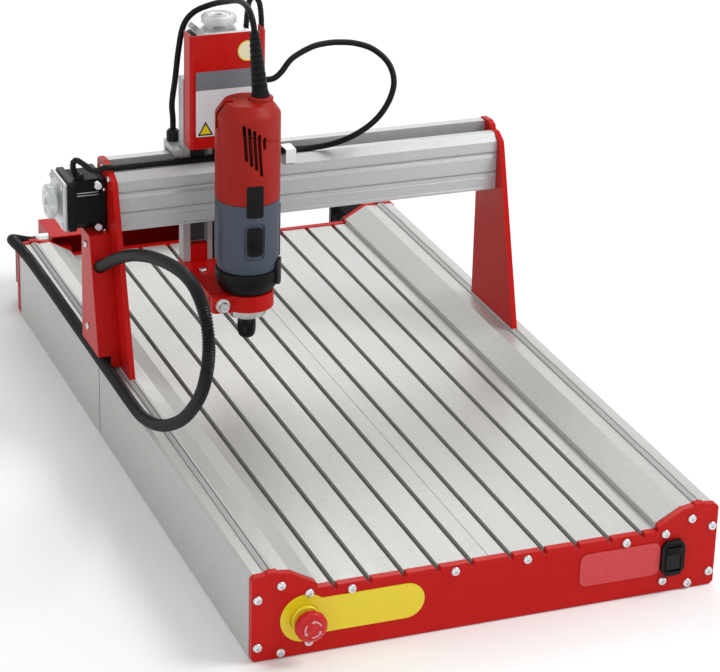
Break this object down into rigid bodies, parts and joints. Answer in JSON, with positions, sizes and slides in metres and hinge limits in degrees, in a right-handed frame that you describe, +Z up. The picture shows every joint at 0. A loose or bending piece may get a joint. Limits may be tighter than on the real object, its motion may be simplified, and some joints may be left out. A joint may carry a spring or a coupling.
{
  "type": "desktop cnc router",
  "caption": "Desktop CNC router: T-slot table on an extruded base, moving gantry with a cross carriage, and a Z column that clamps a milling motor in a collar.",
  "frame": {"origin": "middle of the base's underside", "axes": "+X to the machine's right, +Y to its back, +Z up"},
  "size_m": [0.5298, 0.967, 0.4937],
  "materials": {
    "red_coat": "satin",
    "aluminium": "anodised",
    "steel": "ground",
    "black_metal": "satin",
    "rubber": "matt",
    "tool_red": "textured",
    "tool_grey": "textured",
    "black_plastic": "satin",
    "clear": "clear",
    "brass": "satin",
    "stop_red": "gloss"
  },
  "bodies": {
    "base": {"left_base_rail": "aluminium", "right_base_rail": "aluminium", "left_table_profile": "aluminium", "right_table_profile": "aluminium", "front_plate": "red_coat", "rear_plate": "red_coat", "base_floor_plate": "aluminium", "left_y_guide_rod": "steel", "right_y_guide_rod": "steel", "left_y_motor": "black_metal", "right_y_motor": "black_metal", "rear_control_box": "red_coat", "rear_conduit_gland": "steel", "power_inlet": "black_plastic", "estop_housing": "black_plastic", "power_switch_frame": "black_plastic", "gantry_conduit": "rubber"},
    "gantry": {"left_side_plate": "red_coat", "right_side_plate": "red_coat", "beam_front_profile": "aluminium", "beam_rear_profile": "aluminium", "x_guide_rod_lower": "steel", "x_guide_rod_upper": "steel", "left_y_carriage": "aluminium", "right_y_carriage": "aluminium", "left_drive_cover": "red_coat", "x_motor_body": "black_metal", "x_motor_end_cap": "aluminium", "cable_clip": "steel", "z_cable_run": "rubber", "z_cable_loop": "rubber"},
    "x_carriage": {"x_carriage_block": "aluminium", "z_nut": "brass", "tool_cable_gland": "black_plastic"},
    "z_head": {"z_column": "aluminium", "z_motor_body": "black_metal", "z_motor_end_cap": "aluminium", "tower_cover": "red_coat", "spindle_bracket": "red_coat", "clamp_screw": "steel", "spindle_neck": "steel", "spindle_nose": "black_plastic", "lower_housing": "tool_grey", "upper_housing": "tool_red", "strain_relief": "rubber", "z_cable_tail": "rubber", "spindle_cable": "rubber"},
    "spindle_rotor": {"spindle_shaft": "steel", "collet_nut": "black_metal"},
    "x_drive_screw": {"x_screw": "steel", "x_handwheel": "clear"},
    "z_drive_screw": {"z_screw": "steel", "z_handwheel": "clear"},
    "left_drive_screw": {"left_y_screw": "steel"},
    "right_drive_screw": {"right_y_screw": "steel"},
    "stop_button": {"estop_button": "stop_red"},
    "power_key": {"power_rocker": "black_plastic"},
    "tool_switch": {"spindle_switch": "black_plastic"},
    "tool_dial": {"speed_dial": "black_plastic"},
    "tool_lock": {"lock_button": "black_plastic"}
  },
  "joints": [
    {"name": "y_slide", "type": "slide", "parent": "base", "child": "gantry", "axis": [0, 1, 0], "range_m": [-0.405, 0.29], "deforming": ["gantry_conduit"]},
    {"name": "x_slide", "type": "slide", "parent": "gantry", "child": "x_carriage", "axis": [1, 0, 0], "range_m": [-0.069, 0.262], "deforming": ["z_cable_loop"]},
    {"name": "z_slide", "type": "slide", "parent": "x_carriage", "child": "z_head", "axis": [0, 0, 1], "range_m": [-0.011, 0.052], "deforming": ["z_cable_tail", "spindle_cable"]},
    {"name": "spindle_spin", "type": "hinge", "parent": "z_head", "child": "spindle_rotor", "pos_m": [-0.0975, 0.0065, 0.2], "axis": [0, 0, 1], "continuous": true},
    {"name": "x_screw_spin", "type": "hinge", "parent": "gantry", "child": "x_drive_screw", "pos_m": [-0.2, 0.12, 0.264], "axis": [1, 0, 0], "continuous": true},
    {"name": "z_screw_spin", "type": "hinge", "parent": "z_head", "child": "z_drive_screw", "pos_m": [-0.0975, 0.105, 0.4], "axis": [0, 0, 1], "continuous": true},
    {"name": "left_y_screw_spin", "type": "hinge", "parent": "base", "child": "left_drive_screw", "pos_m": [-0.205, 0, 0.045], "axis": [0, 1, 0], "continuous": true},
    {"name": "right_y_screw_spin", "type": "hinge", "parent": "base", "child": "right_drive_screw", "pos_m": [0.205, 0, 0.045], "axis": [0, 1, 0], "continuous": true},
    {"name": "stop_push", "type": "slide", "parent": "base", "child": "stop_button", "axis": [0, 1, 0], "range_m": [0, 0.0045]},
    {"name": "power_toggle", "type": "hinge", "parent": "base", "child": "power_key", "pos_m": [0.1947, -0.438, 0.0385], "axis": [1, 0, 0], "range_deg": [-8, 0]},
    {"name": "tool_switch_slide", "type": "slide", "parent": "z_head", "child": "tool_switch", "axis": [0, 0, 1], "range_m": [0, 0.004]},
    {"name": "tool_dial_turn", "type": "hinge", "parent": "z_head", "child": "tool_dial", "pos_m": [-0.122, 0.0065, 0.3838], "axis": [0, 1, 0], "range_deg": [-135, 135]},
    {"name": "tool_lock_push", "type": "slide", "parent": "z_head", "child": "tool_lock", "axis": [-1, 0, 0], "range_m": [0, 0.0025], "stiffness_N_per_m": 150}
  ],
  "couplings": [
    {"joint": "x_screw_spin", "follows": "x_slide", "rad_per_m": 1256.6},
    {"joint": "z_screw_spin", "follows": "z_slide", "rad_per_m": 1256.6},
    {"joint": "left_y_screw_spin", "follows": "y_slide", "rad_per_m": 1256.6},
    {"joint": "right_y_screw_spin", "follows": "y_slide", "rad_per_m": 1256.6}
  ]
}
